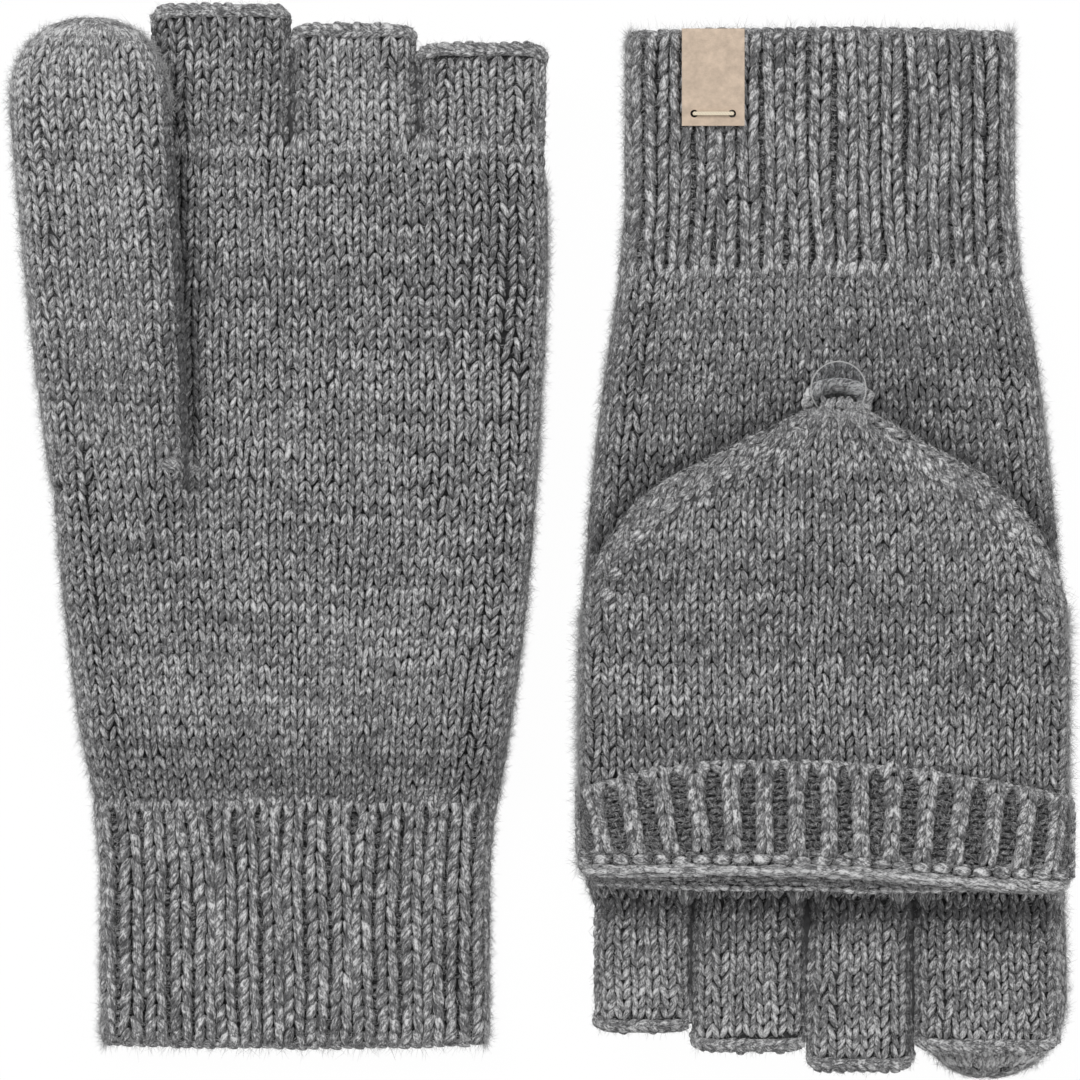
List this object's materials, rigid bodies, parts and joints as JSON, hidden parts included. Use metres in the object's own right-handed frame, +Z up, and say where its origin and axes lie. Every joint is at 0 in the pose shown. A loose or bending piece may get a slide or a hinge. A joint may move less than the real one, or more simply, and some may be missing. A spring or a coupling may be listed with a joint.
{
  "type": "convertible flip-top mittens",
  "caption": "Pair of knitted half-finger gloves with flip-over mitten hoods, full thumbs and ribbed cuffs, hoods folded back and looped round clear buttons.",
  "frame": {"origin": "middle of the pair's outline, on the surface on which both mittens lie flat", "axes": "+Z up out of the surface, +Y towards the fingertips of the left mitten and the cuff of the right one, +X from the left mitten to the right one"},
  "size_m": [0.2428, 0.2468, 0.0288],
  "materials": {
    "grey_wool": "soft knitted wool, mottled mid grey",
    "clear_button": "clear, polished",
    "grey_thread": "matt thread",
    "label_leather": "smooth, undyed, matt",
    "cream_thread": "waxed thread"
  },
  "bodies": {
    "left_mitten": {"left_wrist_cuff": "grey_wool", "left_hand_tube": "grey_wool", "left_thumb_tube": "grey_wool", "left_index_finger": "grey_wool", "left_middle_finger": "grey_wool", "left_ring_finger": "grey_wool", "left_little_finger": "grey_wool", "left_button": "clear_button", "left_button_thread": "grey_thread"},
    "left_hood": {"left_hood_seam": "grey_wool", "left_hood_back": "grey_wool", "left_hood_palm": "grey_wool", "left_hood_band": "grey_wool"},
    "left_loop": {"left_button_loop": "grey_wool"},
    "right_mitten": {"right_wrist_cuff": "grey_wool", "right_hand_tube": "grey_wool", "right_thumb_tube": "grey_wool", "right_index_finger": "grey_wool", "right_middle_finger": "grey_wool", "right_ring_finger": "grey_wool", "right_little_finger": "grey_wool", "right_button": "clear_button", "right_button_thread": "grey_thread", "right_cuff_label": "label_leather", "right_label_thread": "cream_thread"},
    "right_hood": {"right_hood_seam": "grey_wool", "right_hood_back": "grey_wool", "right_hood_palm": "grey_wool", "right_hood_band": "grey_wool"},
    "right_loop": {"right_button_loop": "grey_wool"}
  },
  "joints": [
    {"name": "right_mitten_lift", "type": "slide", "parent": "left_mitten", "child": "right_mitten", "axis": [0, 0, 1], "range_m": [0, 0.15]},
    {"name": "left_hood_flip", "type": "hinge", "parent": "left_mitten", "child": "left_hood", "pos_m": [-0.05681, 0.08058, 0.0091], "axis": [1, 0, 0], "range_deg": [0, 180], "deforming": ["left_hood_palm", "left_hood_band"]},
    {"name": "left_loop_release", "type": "hinge", "parent": "left_hood", "child": "left_loop", "pos_m": [-0.06011, -0.02802, 0.00885], "axis": [1, 0, 0], "range_deg": [0, 75], "deforming": ["left_button_loop"]},
    {"name": "right_hood_flip", "type": "hinge", "parent": "right_mitten", "child": "right_hood", "pos_m": [0.06539, -0.07903, 0.0197], "axis": [1, 0, 0], "range_deg": [0, 180], "deforming": ["right_hood_palm", "right_hood_band"]},
    {"name": "right_loop_release", "type": "hinge", "parent": "right_hood", "child": "right_loop", "pos_m": [0.06869, 0.02957, 0.01995], "axis": [1, 0, 0], "range_deg": [0, 75], "deforming": ["right_button_loop"]}
  ]
}
